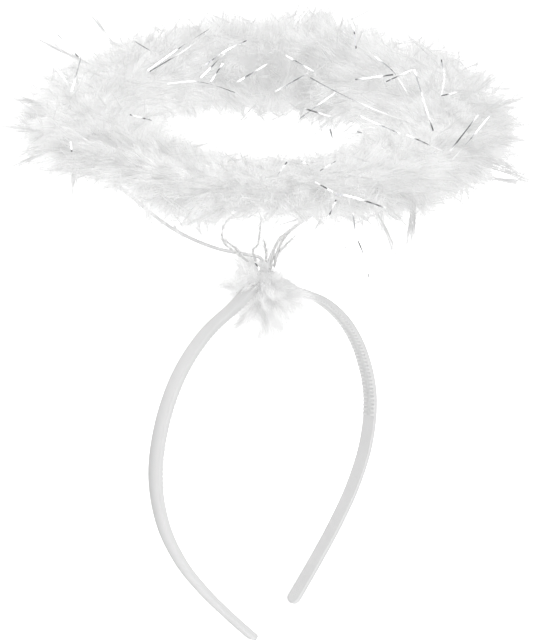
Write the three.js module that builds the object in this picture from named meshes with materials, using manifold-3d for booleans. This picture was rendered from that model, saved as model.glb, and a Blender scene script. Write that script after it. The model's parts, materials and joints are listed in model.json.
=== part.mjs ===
import * as THREE from "three";
import { mergeVertices } from "three/addons/utils/BufferGeometryUtils.js";
import Module from "manifold-3d";

// Halo headband, in millimetres. It is drawn as it is worn, with X to the right, Y to the back of the head and
// Z up, from the middle of the band's crown. At the end it is laid on its back, where it rests on the halo and
// the band's tips.

// Headband, along the middle of the strip.
const bandSpan = 120;
const bandWidth = 5.6;
const bandThickness = 2;
const rightReach = 127.8;
const leftReach = 134;
const tipTwist = 1.5;
const edgeRound = 0.55;

// Teeth on the inside of the band, one row along each edge.
const toothPitch = 1.7;
const toothHeight = 0.6;
const toothWidth = 2.2;
const toothedReach = 96;

// Wire of the halo.
const wireDiameter = 1.2;
const ringRadius = 62.5;
const ringHeight = 57.5;
const ringAside = 3.5;
const ringForward = 1;
const ringTipForward = THREE.MathUtils.degToRad(10);
const ringTipLeft = THREE.MathUtils.degToRad(7.3);
const leftLegAngle = THREE.MathUtils.degToRad(160);
const rightLegAngle = THREE.MathUtils.degToRad(-20);
const bindingLength = 3.6;
const legSpacing = 2;

// Down wound on the ring and on the crown, without its locks, and the locks that stand out of it.
const fluffInner = 24.5;
const fluffOuter = 20.5;
const fluffRise = 11.2;
const lockLength = 5.6;
const tuftWidth = 23;
const tuftHeight = 23;
const tuftDrop = 3.5;
const tuftAside = 1;
const tuftLockLength = 5;

// Where the halo lies on the floor: two fuller clumps at its back, low on the outside, with short locks round
// them.
const clumpAngle = THREE.MathUtils.degToRad(15);
const clumpTurn = THREE.MathUtils.degToRad(123);
const clumpStandOut = 7;
const pressedAngle = THREE.MathUtils.degToRad(41);
const pressedTurn = THREE.MathUtils.degToRad(78);
const pressedLength = 1.5;

// Room left between pieces that touch.
const clearance = 0.3;

// How finely the round shapes are cut.
const bandStep = 5;
const ringSteps = 48;
const wireSides = 6;
const legSteps = 20;

// Points round the down's sections, in threes so that the locks meet all round, and sections along the halo.
const fluffSides = 21;
const fluffRings = 4 * fluffSides;
const tuftSides = 15;
const tuftRings = 12;

const wireRadius = wireDiameter / 2;
const wasm = await Module();
wasm.setup();

// A closed mesh as a solid, which can be joined and cut.
function toSolid(geometry) {
  const bare = geometry.clone();
  bare.deleteAttribute("normal");
  bare.deleteAttribute("uv");
  const merged = mergeVertices(bare, 1e-4);
  const vertProperties = Float32Array.from(merged.attributes.position.array);
  const triVerts = Uint32Array.from(merged.index.array);
  return new wasm.Manifold(new wasm.Mesh({ numProp: 3, vertProperties, triVerts }));
}

function toGeometry(solid) {
  const mesh = solid.getMesh();
  const geometry = new THREE.BufferGeometry();
  geometry.setAttribute("position", new THREE.BufferAttribute(Float32Array.from(mesh.vertProperties), 3));
  geometry.setIndex(new THREE.BufferAttribute(Uint32Array.from(mesh.triVerts), 1));
  geometry.computeVertexNormals();
  return geometry;
}

// Joins rings of points into a skin. The points go round the direction of travel by the right-hand rule.
// An open skin is closed at each end by a fan round the point given for it.
function loft(rings, ends) {
  const count = rings[0].length;
  const points = rings.flat();
  const triangles = [];
  const spans = ends ? rings.length - 1 : rings.length;
  for (let i = 0; i < spans; i += 1) {
    const here = i * count;
    const next = ((i + 1) % rings.length) * count;
    for (let j = 0; j < count; j += 1) {
      const k = (j + 1) % count;
      triangles.push(here + j, here + k, next + k, here + j, next + k, next + j);
    }
  }
  if (ends) {
    const first = points.push(ends[0]) - 1;
    const last = points.push(ends[1]) - 1;
    const top = (rings.length - 1) * count;
    for (let j = 0; j < count; j += 1) {
      const k = (j + 1) % count;
      triangles.push(first, k, j, last, top + j, top + k);
    }
  }
  const geometry = new THREE.BufferGeometry().setFromPoints(points);
  geometry.setIndex(triangles);
  geometry.computeVertexNormals();
  return geometry;
}

// A number from 0 to 1 that looks random and is the same each time.
function scatter(index, salt) {
  const value = Math.sin(index * 12.9898 + salt * 78.233) * 43758.5453;
  return value - Math.floor(value);
}

// Headband.

// Places along an arm, from near the crown to the tip, as shares of half the span and of that arm's reach.
const armColumns = ["across", "drop"];
const armRows = [
  [0.27, 0.055],
  [0.542, 0.112],
  [0.769, 0.199],
  [0.926, 0.315],
  [1, 0.448],
  [0.957, 0.583],
  [0.823, 0.704],
  [0.634, 0.81],
  [0.422, 0.907],
  [0.204, 1],
];

// One arm's points. The arms are twisted a little out of one plane, more towards their tips.
function armPoints(side, reach) {
  const across = armColumns.indexOf("across");
  const drop = armColumns.indexOf("drop");
  return armRows.map(
    (row) =>
      new THREE.Vector3(
        (side * row[across] * bandSpan) / 2,
        side * tipTwist * row[drop] ** 2,
        -row[drop] * reach,
      ),
  );
}

const bandCurve = new THREE.CatmullRomCurve3([
  ...armPoints(-1, leftReach).reverse(),
  new THREE.Vector3(0, 0, 0),
  ...armPoints(1, rightReach),
]);
bandCurve.arcLengthDivisions = 800;
const bandLength = bandCurve.getLength();

// How far along the curve the crown lies: the place where the strip crosses the middle.
function crownPlace() {
  let low = 0.3 * bandLength;
  let high = 0.7 * bandLength;
  for (let step = 0; step < 40; step += 1) {
    const middle = (low + high) / 2;
    if (bandCurve.getPointAt(middle / bandLength).x < 0) low = middle;
    else high = middle;
  }
  return (low + high) / 2;
}
const crown = crownPlace();

// A profile set across the strip at a place along it, with u across its width and v out from the head.
function acrossBand(place, profile) {
  const centre = bandCurve.getPointAt(place / bandLength);
  const along = bandCurve.getTangentAt(place / bandLength);
  const wide = new THREE.Vector3(0, 1, 0).addScaledVector(along, -along.y).normalize();
  const out = new THREE.Vector3().crossVectors(along, wide);
  return profile.map(([u, v]) => centre.clone().addScaledVector(wide, u).addScaledVector(out, v));
}

// One cross-section of the strip: a flat inner face, a rounded outer one, and a ridge along each inner edge
// that rises to a tooth, with a channel in the middle. It narrows to a half circle at a tip.
function bandSection(place, ridge, narrowing) {
  const half = (bandWidth / 2) * narrowing;
  const outer = bandThickness / 2;
  const round = edgeRound * narrowing;
  const inset = (toothWidth / 2) * narrowing;
  const profile = [
    [half, -outer + round / 2],
    [half, outer - round],
    [half - round, outer],
    [-half + round, outer],
    [-half, outer - round],
    [-half, -outer + round / 2],
    [-half + inset, -outer - ridge],
    [0, -outer],
    [half - inset, -outer - ridge],
  ];
  return acrossBand(place, profile);
}

// Sections from one place to another: two for each tooth, and a few for each plain stretch and rounded tip.
function headbandGeometry() {
  const teeth = Math.round((2 * toothedReach) / toothPitch);
  const toothStart = crown - (teeth * toothPitch) / 2;
  const toothEnd = crown + (teeth * toothPitch) / 2;
  const tipLength = bandWidth / 2;
  const rings = [];
  const tipShares = [0.04, 0.3, 0.65];
  for (const share of tipShares) {
    rings.push(bandSection(share * tipLength, 0, Math.sqrt(1 - (1 - share) ** 2)));
  }
  const addPlain = (from, to) => {
    const steps = Math.max(1, Math.round((to - from) / bandStep));
    for (let i = 0; i < steps; i += 1) {
      rings.push(bandSection(from + ((to - from) * i) / steps, 0, 1));
    }
  };
  addPlain(tipLength, toothStart);
  for (let i = 0; i < teeth; i += 1) {
    rings.push(bandSection(toothStart + i * toothPitch, 0, 1));
    rings.push(bandSection(toothStart + (i + 0.5) * toothPitch, toothHeight, 1));
  }
  addPlain(toothEnd, bandLength - tipLength);
  rings.push(bandSection(bandLength - tipLength, 0, 1));
  for (const share of tipShares.toReversed()) {
    rings.push(bandSection(bandLength - share * tipLength, 0, Math.sqrt(1 - (1 - share) ** 2)));
  }
  return loft(rings, [bandCurve.getPointAt(0), bandCurve.getPointAt(1)]);
}

// The space that the band takes at the crown with clearance round it, to cut out of what surrounds it.
function bandRoom(reach) {
  const half = bandWidth / 2 + clearance;
  const top = bandThickness / 2 + clearance;
  const bottom = -bandThickness / 2 - toothHeight - clearance;
  const profile = [
    [half, bottom],
    [half, top],
    [-half, top],
    [-half, bottom],
  ];
  const from = crown - reach;
  const to = crown + reach;
  const rings = [];
  const steps = Math.ceil((to - from) / bandStep);
  for (let i = 0; i <= steps; i += 1) {
    rings.push(acrossBand(from + ((to - from) * i) / steps, profile));
  }
  const ends = [from, to].map((place) => bandCurve.getPointAt(place / bandLength));
  return toSolid(loft(rings, ends));
}

// Halo wire.

// The ring's own plane is tipped to the front and to the left.
const ringPlace = new THREE.Matrix4()
  .makeRotationFromEuler(new THREE.Euler(ringTipForward, -ringTipLeft, 0, "YXZ"))
  .setPosition(ringAside, -ringForward, ringHeight);

// Places along the legs, from the crown to the ring, as shares of where the leg meets the ring.
const leftLegRows = [
  { across: 0.034, back: 0, up: 0.134 },
  { across: 0.134, back: 0.124, up: 0.175 },
  { across: 0.317, back: 0.373, up: 0.236 },
  { across: 0.601, back: 0.622, up: 0.393 },
  { across: 0.862, back: 0.866, up: 0.626 },
  { across: 1.05, back: 0.985, up: 0.832 },
];
const rightLegRows = [
  { across: 0.04, back: 0.03, up: 0.115 },
  { across: 0.11, back: 0.05, up: 0.205 },
  { across: 0.24, back: 0.13, up: 0.28 },
  { across: 0.4, back: 0.3, up: 0.365 },
  { across: 0.58, back: 0.53, up: 0.46 },
  { across: 0.78, back: 0.81, up: 0.6 },
  { across: 0.94, back: 0.95, up: 0.79 },
];

function legCurve(side, angle, rows) {
  const foot = new THREE.Vector3(Math.cos(angle), Math.sin(angle), 0)
    .multiplyScalar(ringRadius)
    .applyMatrix4(ringPlace);
  const points = rows.map(
    ({ across, back, up }) => new THREE.Vector3(across * foot.x, back * foot.y, up * foot.z),
  );
  const lift = bandThickness / 2 + clearance + wireRadius;
  const start = new THREE.Vector3((side * legSpacing) / 2, 0, lift);
  return new THREE.CatmullRomCurve3([start, ...points, foot]);
}
const legCurves = [legCurve(-1, leftLegAngle, leftLegRows), legCurve(1, rightLegAngle, rightLegRows)];

// The ring and both legs as one wire of the radius given.
function wireSolid(radius) {
  const ring = new THREE.TorusGeometry(ringRadius, radius, wireSides, ringSteps);
  ring.applyMatrix4(ringPlace);
  let wire = toSolid(ring);
  const section = new THREE.Shape();
  section.absarc(0, 0, radius, 0, 2 * Math.PI);
  for (const extrudePath of legCurves) {
    const leg = new THREE.ExtrudeGeometry(section, {
      steps: legSteps,
      curveSegments: wireSides / 2,
      extrudePath,
    });
    wire = wire.add(toSolid(leg));
  }
  return wire;
}

// The binding round the crown: a square tube that the band passes through. Without a hole it is the room that
// the binding takes.
function binding(grow, hollow) {
  const top = bandThickness / 2 + clearance;
  const bottom = -bandThickness / 2 - toothHeight - clearance;
  const half = bandWidth / 2 + clearance;
  const wall = wireDiameter + grow;
  const outline = new THREE.Shape();
  outline.moveTo(-half - wall, bottom - wall);
  outline.lineTo(half + wall, bottom - wall);
  outline.lineTo(half + wall, top + wall);
  outline.lineTo(-half - wall, top + wall);
  outline.closePath();
  if (hollow) {
    const hole = new THREE.Path();
    hole.moveTo(-half, bottom);
    hole.lineTo(-half, top);
    hole.lineTo(half, top);
    hole.lineTo(half, bottom);
    hole.closePath();
    outline.holes.push(hole);
  }
  const depth = bindingLength + 2 * grow;
  const tube = new THREE.ExtrudeGeometry(outline, { depth, bevelEnabled: false, steps: 1 });
  tube.translate(0, 0, -depth / 2);
  tube.applyMatrix4(new THREE.Matrix4().makeBasis(
    new THREE.Vector3(0, 1, 0),
    new THREE.Vector3(0, 0, 1),
    new THREE.Vector3(1, 0, 0),
  ));
  return toSolid(tube);
}

function haloWireGeometry() {
  return toGeometry(wireSolid(wireRadius).add(binding(0, true)));
}

// Marabou.

// The down's skin is a net of points in which each ring is turned by half a step from the last. Every third point
// is drawn out to the tip of a lock and the six round it stay down, so the locks wind round as the trim does.
function isLockTip(i, j) {
  return (i + j) % 3 === 0;
}

function netTurn(i, j, sides) {
  return (2 * Math.PI * (j - i / 2)) / sides;
}

// The body's half sizes round the ring, as shares of the named ones. Turn is in degrees, from the right to the
// back.
const bodyColumns = ["turn", "inner", "outer", "rise", "drop"];
const bodyRows = [
  [0, 1.25, 1, 1.25, 1.3],
  [15, 1.25, 1, 1.7, 1.7],
  [25, 1.15, 1, 1.9, 1.6],
  [35, 1.1, 1, 1.75, 1.6],
  [45, 1.05, 1, 1.5, 1.55],
  [60, 1, 1, 1.6, 1.4],
  [68, 1, 1, 1.25, 1.3],
  [80, 1, 1.1, 1.45, 1.2],
  [93, 0.95, 1.05, 0.95, 1.1],
  [107, 0.9, 1.15, 0.85, 1.1],
  [122, 0.85, 1.15, 0.8, 1.1],
  [140, 0.85, 1.25, 0.8, 1.1],
  [155, 0.85, 1.35, 0.8, 1],
  [170, 0.8, 0.95, 0.7, 0.75],
  [182, 0.75, 0.95, 0.6, 0.8],
  [197, 0.7, 1.15, 0.4, 1.75],
  [210, 0.7, 0.95, 0.35, 0.9],
  [225, 0.7, 0.9, 0.35, 1.05],
  [240, 0.75, 1, 0.4, 1.15],
  [260, 0.85, 1.15, 0.5, 1.4],
  [275, 0.9, 1.1, 0.55, 1.1],
  [290, 1.1, 1.2, 0.7, 1.2],
  [310, 1.2, 1.2, 1.1, 1.1],
  [328, 1.2, 1.2, 1.5, 1.1],
  [343, 1.2, 1.05, 1.75, 1.2],
  [352, 1.2, 1, 1.35, 1.2],
];

// A column of the table at any turn, eased from row to row.
function bodySize(name, angle) {
  const column = bodyColumns.indexOf(name);
  const turn = THREE.MathUtils.euclideanModulo(THREE.MathUtils.radToDeg(angle), 360);
  const index = bodyRows.findLastIndex((row) => row[0] <= turn);
  const row = bodyRows[index];
  const next = bodyRows[(index + 1) % bodyRows.length];
  const width = THREE.MathUtils.euclideanModulo(next[0] - row[0], 360);
  const share = THREE.MathUtils.smoothstep((turn - row[0]) / width, 0, 1);
  return THREE.MathUtils.lerp(row[column], next[column], share);
}

// How far the clumps stand out, fading away from the middle of each.
function clumpSwell(angle, turn) {
  const fromBack = Math.abs(angle - Math.PI / 2);
  const along = Math.abs(fromBack - clumpAngle) / clumpAngle;
  const round = Math.max(0, Math.cos(turn - clumpTurn));
  return along < 1 ? clumpStandOut * Math.cos((Math.PI / 2) * along) ** 2 * round ** 2 : 0;
}

// A point on the body's skin: angle goes round the ring, turn goes round its section from the top outwards.
function bodyPoint(angle, turn, scale) {
  const out = Math.sin(turn);
  const up = Math.cos(turn);
  const swell = clumpSwell(angle, turn);
  const reach = out > 0 ? fluffOuter * bodySize("outer", angle) : fluffInner * bodySize("inner", angle);
  const lift = fluffRise * bodySize(up > 0 ? "rise" : "drop", angle);
  const radius = ringRadius + scale * (reach + swell) * out;
  return new THREE.Vector3(Math.cos(angle) * radius, Math.sin(angle) * radius, scale * (lift + swell) * up);
}

function isPressed(angle, turn) {
  return Math.abs(angle - Math.PI / 2) < pressedAngle && Math.cos(turn - clumpTurn) > Math.cos(pressedTurn);
}

// A lock's tip stands out from the wire and is swept a little along the ring.
function haloTip(angle, turn, index) {
  const skin = bodyPoint(angle, turn, 1);
  const outward = skin.clone().sub(bodyPoint(angle, turn, 0)).normalize();
  const along = new THREE.Vector3(-Math.sin(angle), Math.cos(angle), 0);
  const length = isPressed(angle, turn) ? pressedLength : lockLength * (0.5 + 0.5 * scatter(index, 1));
  const sweep = 0.8 * (scatter(index, 2) - 0.25);
  return skin.addScaledVector(outward, length).addScaledVector(along, length * sweep);
}

function haloBody() {
  const rings = [];
  for (let i = 0; i < fluffRings; i += 1) {
    const angle = (2 * Math.PI * i) / fluffRings;
    const ring = [];
    for (let j = 0; j < fluffSides; j += 1) {
      const turn = netTurn(i, j, fluffSides);
      ring.push(isLockTip(i, j) ? haloTip(angle, turn, i * fluffSides + j) : bodyPoint(angle, turn, 1));
    }
    rings.push(ring);
  }
  return toSolid(loft(rings));
}

function marabouHaloGeometry() {
  const inPlace = toGeometry(haloBody()).applyMatrix4(ringPlace);
  return toGeometry(toSolid(inPlace).subtract(wireSolid(wireRadius + clearance)));
}

// A lock of the tuft leans out, and hangs more the lower it is.
function tuftTip(skin, direction, index) {
  const length = tuftLockLength * (0.6 + 0.4 * scatter(index, 3));
  const hang = 0.25 * length * (1 - direction.z);
  return skin.clone().addScaledVector(direction, length).add(new THREE.Vector3(0, 0, -hang));
}

// The tuft is a ball round the crown, drawn from its underside to its top.
function marabouTuftGeometry() {
  const middle = new THREE.Vector3(-tuftAside, 0, -tuftDrop);
  const half = new THREE.Vector3(tuftWidth, tuftWidth, tuftHeight).divideScalar(2);
  const rings = [];
  for (let i = 0; i < tuftRings; i += 1) {
    const fromBottom = (Math.PI * (i + 0.5)) / tuftRings;
    const ring = [];
    for (let j = 0; j < tuftSides; j += 1) {
      const turn = netTurn(i, j, tuftSides);
      const flat = Math.sin(fromBottom);
      const direction = new THREE.Vector3(Math.cos(turn) * flat, Math.sin(turn) * flat, -Math.cos(fromBottom));
      const skin = middle.clone().add(half.clone().multiply(direction));
      ring.push(isLockTip(i, j) ? tuftTip(skin, direction, i * tuftSides + j) : skin);
    }
    rings.push(ring);
  }
  const ends = [-1, 1].map((side) => middle.clone().add(new THREE.Vector3(0, 0, side * half.z)));
  const room = bandRoom(tuftWidth + tuftLockLength)
    .add(binding(clearance, false))
    .add(wireSolid(wireRadius + clearance));
  return toGeometry(toSolid(loft(rings, ends)).subtract(room));
}

// Assembly.

function part(name, geometry, color, roughness) {
  const material = new THREE.MeshStandardMaterial({ color, roughness, metalness: 0 });
  const mesh = new THREE.Mesh(geometry, material);
  mesh.name = name;
  return mesh;
}

const headband = part("headband", headbandGeometry(), 0xf2f2f0, 0.35);
const haloWire = part("halo_wire", haloWireGeometry(), 0xf0f0f0, 0.5);
const marabouHalo = part("marabou_halo", marabouHaloGeometry(), 0xfbfbfb, 0.95);
const marabouTuft = part("marabou_tuft", marabouTuftGeometry(), 0xfbfbfb, 0.95);

// Height of the lowest point of a mesh, on the left (-1), on the right (1) or on both (0), when the whole is
// leaned back and rolled sideways.
function lowest(mesh, lean, roll, side) {
  const position = mesh.geometry.attributes.position;
  let low = Infinity;
  for (let i = 0; i < position.count; i += 1) {
    const aside = position.getX(i) - ringAside;
    const up = position.getZ(i) * Math.cos(lean) - position.getY(i) * Math.sin(lean);
    if (side * aside >= 0) low = Math.min(low, up * Math.cos(roll) - position.getX(i) * Math.sin(roll));
  }
  return low;
}

// The angle between two limits at which a rising measure passes zero.
function passesZero(measure, from, to) {
  let low = from;
  let high = to;
  for (let step = 0; step < 30; step += 1) {
    const middle = (low + high) / 2;
    if (measure(middle) < 0) low = middle;
    else high = middle;
  }
  return (low + high) / 2;
}

// The lean at which the halo and the nearer tip of the band touch the floor together.
function restingLean(roll) {
  const tipOverHalo = (lean) => lowest(headband, lean, roll, 0) - lowest(marabouHalo, lean, roll, 0);
  return passesZero(tipOverHalo, 0, Math.PI / 2);
}

// The roll at which both sides of the halo's back touch it.
const rollLimit = THREE.MathUtils.degToRad(15);
const roll = passesZero(
  (angle) =>
    lowest(marabouHalo, restingLean(angle), angle, -1) - lowest(marabouHalo, restingLean(angle), angle, 1),
  -rollLimit,
  rollLimit,
);

const laid = new THREE.Group();
laid.rotation.set(-restingLean(roll), roll, 0, "YXZ");
laid.add(headband, haloWire, marabouHalo, marabouTuft);
laid.updateMatrixWorld(true);
const box = new THREE.Box3().setFromObject(laid, true);
const centre = box.getCenter(new THREE.Vector3());
laid.position.set(-centre.x, -centre.y, -box.min.z);

const object = new THREE.Group();
object.add(laid);
export default object;
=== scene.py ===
import json
import math
import bpy
import numpy as np
from mathutils import Matrix


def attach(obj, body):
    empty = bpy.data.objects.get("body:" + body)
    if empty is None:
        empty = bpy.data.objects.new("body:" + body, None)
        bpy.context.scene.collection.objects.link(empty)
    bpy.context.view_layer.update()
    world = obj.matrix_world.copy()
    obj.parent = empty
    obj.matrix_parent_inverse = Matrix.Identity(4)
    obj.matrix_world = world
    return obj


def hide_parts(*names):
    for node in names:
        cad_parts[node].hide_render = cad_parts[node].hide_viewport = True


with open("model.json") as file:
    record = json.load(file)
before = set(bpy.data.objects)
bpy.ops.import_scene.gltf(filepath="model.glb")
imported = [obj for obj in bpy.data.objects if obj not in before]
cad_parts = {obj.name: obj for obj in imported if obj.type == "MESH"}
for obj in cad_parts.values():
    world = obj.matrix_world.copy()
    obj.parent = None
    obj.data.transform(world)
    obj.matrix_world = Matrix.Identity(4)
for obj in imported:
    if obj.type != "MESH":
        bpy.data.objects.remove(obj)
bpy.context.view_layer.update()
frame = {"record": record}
print("frame loaded")

# Everything is drawn as it is worn, in millimetres: X to the right, Y to the back of the head, Z up,
# from the middle of the band's crown. It is then laid on its back, as the seat in the frame says.
seat = next(mount for mount in frame["record"]["mounts"] if mount["name"] == "head_seat")
seatUp = -np.array(seat["axis"]) / np.linalg.norm(seat["axis"])
lean = math.asin(seatUp[1])
roll = math.atan2(seatUp[0], seatUp[2])
laid = np.array(Matrix.Rotation(roll, 3, "Y") @ Matrix.Rotation(-lean, 3, "X"))
seatDepth = 1.0  # the seat lies on the inner face, half the strip's thickness under the middle
crownPlace = np.array(seat["pos_m"]) + seatUp * seatDepth / 1000


def laidDown(points):
    # worn millimetres to metres on the floor
    return points / 1000 @ laid.T + crownPlace


def unit(vectors):
    return vectors / np.maximum(np.linalg.norm(vectors, axis=-1, keepdims=True), 1e-9)


# Camera

photoView = dict(
    width=550,  # pixels
    height=641,
    turn=48.25,  # degrees round the head from straight in front
    above=11.29,  # degrees above the level of the band
    roll=1.338,
    distance=800,  # mm from the crown
    scale=2.7682,  # pixels for each mm at the crown
    crownX=264.93,  # where the crown is in the photograph
    crownY=277.37,
    sensor=36,  # mm along the picture's long side
)


def photoAxes():
    # right, up and forward of the camera when it looks at the crown
    turn, above, tilt = (math.radians(photoView[key]) for key in ("turn", "above", "roll"))
    forward = np.array(
        [math.sin(turn) * math.cos(above), math.cos(turn) * math.cos(above), -math.sin(above)]
    )
    right = np.array([math.cos(turn), -math.sin(turn), 0])
    up = np.cross(right, forward)
    return (
        right * math.cos(tilt) - up * math.sin(tilt),
        right * math.sin(tilt) + up * math.cos(tilt),
        forward,
    )


def inPhoto(points):
    # pixel x, pixel y and depth in mm of worn points: similar triangles from a camera at the named
    # distance
    right, up, forward = photoAxes()
    depth = points @ forward
    zoom = photoView["scale"] / (1 + depth / photoView["distance"])
    x = photoView["crownX"] + points @ right * zoom
    y = photoView["crownY"] - points @ up * zoom
    return np.stack([x, y, depth], axis=-1)


def fromPhoto(x, y, depth):
    # the worn point that shows at a pixel, at a depth in mm beyond the crown
    right, up, forward = photoAxes()
    zoom = photoView["scale"] / (1 + depth / photoView["distance"])
    return (
        right * (x - photoView["crownX"]) / zoom + up * (photoView["crownY"] - y) / zoom + forward * depth
    )


def makeCamera():
    # aimed through the picture's middle, so that the lens needs no shift
    right, up, forward = photoAxes()
    eye = -photoView["distance"] * forward
    aim = unit(fromPhoto(photoView["width"] / 2, photoView["height"] / 2, 0.0) - eye)
    side = unit(right - aim * (right @ aim))
    above = np.cross(side, aim)
    focal = photoView["scale"] * photoView["distance"]
    data = bpy.data.cameras.new("photo_camera")
    data.sensor_width = photoView["sensor"]
    data.lens = focal * photoView["sensor"] / photoView["height"]
    data.clip_end = 20
    camera = bpy.data.objects.new("photo_camera", data)
    turned = np.stack([side, above, -aim]) @ laid.T
    camera.matrix_world = Matrix.Translation(laidDown(eye)) @ Matrix(turned.T.tolist()).to_4x4()
    bpy.context.scene.collection.objects.link(camera)
    bpy.context.scene.camera = camera


makeCamera()
print("camera set")


# Mesh helpers


def makePiece(name, points, faces, material, nodes=(), shade=None):
    # a mesh from arrays: worn points in mm, faces of one size, and a number that the material reads
    # at each point
    mesh = bpy.data.meshes.new(name)
    place = laidDown(points.reshape(-1, 3))
    place[:, 2] = np.maximum(place[:, 2], floorGap)
    mesh.vertices.add(len(place))
    mesh.vertices.foreach_set("co", place.astype(np.float32).ravel())
    corners = faces.reshape(-1, faces.shape[-1])
    mesh.loops.add(corners.size)
    mesh.loops.foreach_set("vertex_index", corners.astype(np.int32).ravel())
    mesh.polygons.add(len(corners))
    mesh.polygons.foreach_set("loop_start", np.arange(0, corners.size, corners.shape[1], dtype=np.int32))
    mesh.update(calc_edges=True)
    mesh.polygons.foreach_set("use_smooth", np.full(len(corners), True))
    if shade is not None:
        layer = mesh.attributes.new("shade", "FLOAT", "POINT")
        layer.data.foreach_set("value", shade.astype(np.float32).ravel())
    mesh.materials.append(material)
    piece = bpy.data.objects.new(name, mesh)
    bpy.context.scene.collection.objects.link(piece)
    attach(piece, "root")
    for node in nodes:
        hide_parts(node)


def gridFaces(rows, columns, closedRows=False, closedColumns=True):
    # four-sided faces of a grid of points, each row joined to the next
    r = np.arange(rows if closedRows else rows - 1)[:, None]
    c = np.arange(columns if closedColumns else columns - 1)[None, :]
    r2, c2 = (r + 1) % rows, (c + 1) % columns
    faces = np.stack([r * columns + c, r * columns + c2, r2 * columns + c2, r2 * columns + c], axis=-1)
    return faces.reshape(-1, 4)


def curveThrough(points, steps):
    # centripetal Catmull-Rom curve: each span is a cubic whose slopes come from its neighbours
    points = np.asarray(points, float)
    ends = np.concatenate([[2 * points[0] - points[1]], points, [2 * points[-1] - points[-2]]])
    gaps = np.sqrt(np.linalg.norm(np.diff(ends, axis=0), axis=1))[:, None]
    before, span, after = gaps[:-2], gaps[1:-1], gaps[2:]
    a, b, c, d = ends[:-3], ends[1:-2], ends[2:-1], ends[3:]
    leave = ((b - a) / before - (c - a) / (before + span) + (c - b) / span) * span
    arrive = ((c - b) / span - (d - b) / (span + after) + (d - c) / after) * span
    t = np.linspace(0, 1, steps, endpoint=False)[None, :, None]
    b, c, leave, arrive = (v[:, None, :] for v in (b, c, leave, arrive))
    cubic = (
        b + leave * t
        + (3 * (c - b) - 2 * leave - arrive) * t**2
        + (2 * (b - c) + leave + arrive) * t**3
    )
    return np.concatenate([cubic.reshape(-1, 3), points[-1:]])


def alongCurve(curve, distances):
    # points and directions at distances along a dense curve
    run = np.concatenate([[0], np.cumsum(np.linalg.norm(np.diff(curve, axis=0), axis=1))])
    reach = 0.4  # mm to each side, over which the direction is taken

    def at(distance):
        return np.stack([np.interp(distance, run, curve[:, k]) for k in range(3)], axis=-1)

    here = np.clip(distances, reach, run[-1] - reach)
    return at(distances), unit(at(here + reach) - at(here - reach))


def curveLength(curve):
    return float(np.linalg.norm(np.diff(curve, axis=0), axis=1).sum())


def tube(path, radii, sides, reference):
    # a round section carried along a path, closed to a point at both ends
    forward = unit(np.gradient(path, axis=0))
    aside = unit(np.cross(forward, reference))
    over = np.cross(aside, forward)
    turn = np.linspace(0, 2 * math.pi, sides, endpoint=False)[None, :, None]
    radii = np.broadcast_to(radii, len(path)).copy()
    radii[[0, -1]] = 0
    ring = np.cos(turn) * over[:, None] + np.sin(turn) * aside[:, None]
    return path[:, None] + ring * radii[:, None, None]


def ribbons(paths, widths, lean):
    # flat strips: each path widened sideways, square to its own direction and to a lean vector
    forward = np.gradient(paths, axis=1)
    aside = unit(np.cross(forward, lean)) * widths[..., None] / 2
    points = np.stack([paths - aside, paths + aside], axis=2)
    count, stations = paths.shape[:2]
    strip = gridFaces(stations, 2, closedColumns=False)
    faces = strip[None] + (np.arange(count) * stations * 2)[:, None, None]
    return points, faces.reshape(-1, 4)


def joined(parts):
    # several pairs of points and faces as one
    starts = np.cumsum([0] + [len(points) for points, faces in parts])
    points = np.concatenate([points for points, faces in parts])
    faces = np.concatenate([faces + start for (_, faces), start in zip(parts, starts)])
    return points, faces


floorGap = 0.0002  # metres between the lowest fibres and the floor


# Materials


def linear(code):
    # an sRGB hex value as linear light
    parts = [int(code[k : k + 2], 16) / 255 for k in (0, 2, 4)]
    return [p / 12.92 if p <= 0.04045 else ((p + 0.055) / 1.055) ** 2.4 for p in parts] + [1]


def newMaterial(name):
    material = bpy.data.materials.new(name)
    material.use_nodes = True
    material.node_tree.nodes.clear()
    return material, material.node_tree


def addNode(tree, kind, inputs=None, **settings):
    # a node with its settings, fed by numbers, colours or other nodes' outputs
    node = tree.nodes.new("ShaderNode" + kind)
    for key, value in settings.items():
        setattr(node, key, value)
    for key, value in (inputs or {}).items():
        if isinstance(value, bpy.types.NodeSocket):
            tree.links.new(value, node.inputs[key])
        else:
            node.inputs[key].default_value = value
    return node


def makeDown(name, dark, light, glow):
    # Marabou: bleached turkey down. Each barb scatters light back and lets some through, so it looks
    # chalky and soft. The faint glow stands for light that bounces among the barbs more often than a
    # render follows.
    material, tree = newMaterial(name)
    shade = addNode(tree, "Attribute", attribute_name="shade")
    tone = addNode(
        tree, "Mix", {"Factor": shade.outputs["Fac"], "A": linear(dark), "B": linear(light)},
        data_type="RGBA",
    )
    body = addNode(
        tree, "BsdfPrincipled",
        {
            "Base Color": tone.outputs["Result"], "Roughness": 0.9, "Specular IOR Level": 0.15,
            "Emission Color": tone.outputs["Result"], "Emission Strength": glow,
        },
    )
    through = addNode(tree, "BsdfTranslucent", {"Color": tone.outputs["Result"]})
    both = addNode(tree, "MixShader", {0: 0.5, 1: body.outputs[0], 2: through.outputs[0]})
    addNode(tree, "OutputMaterial", {"Surface": both.outputs[0]})
    return material


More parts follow.
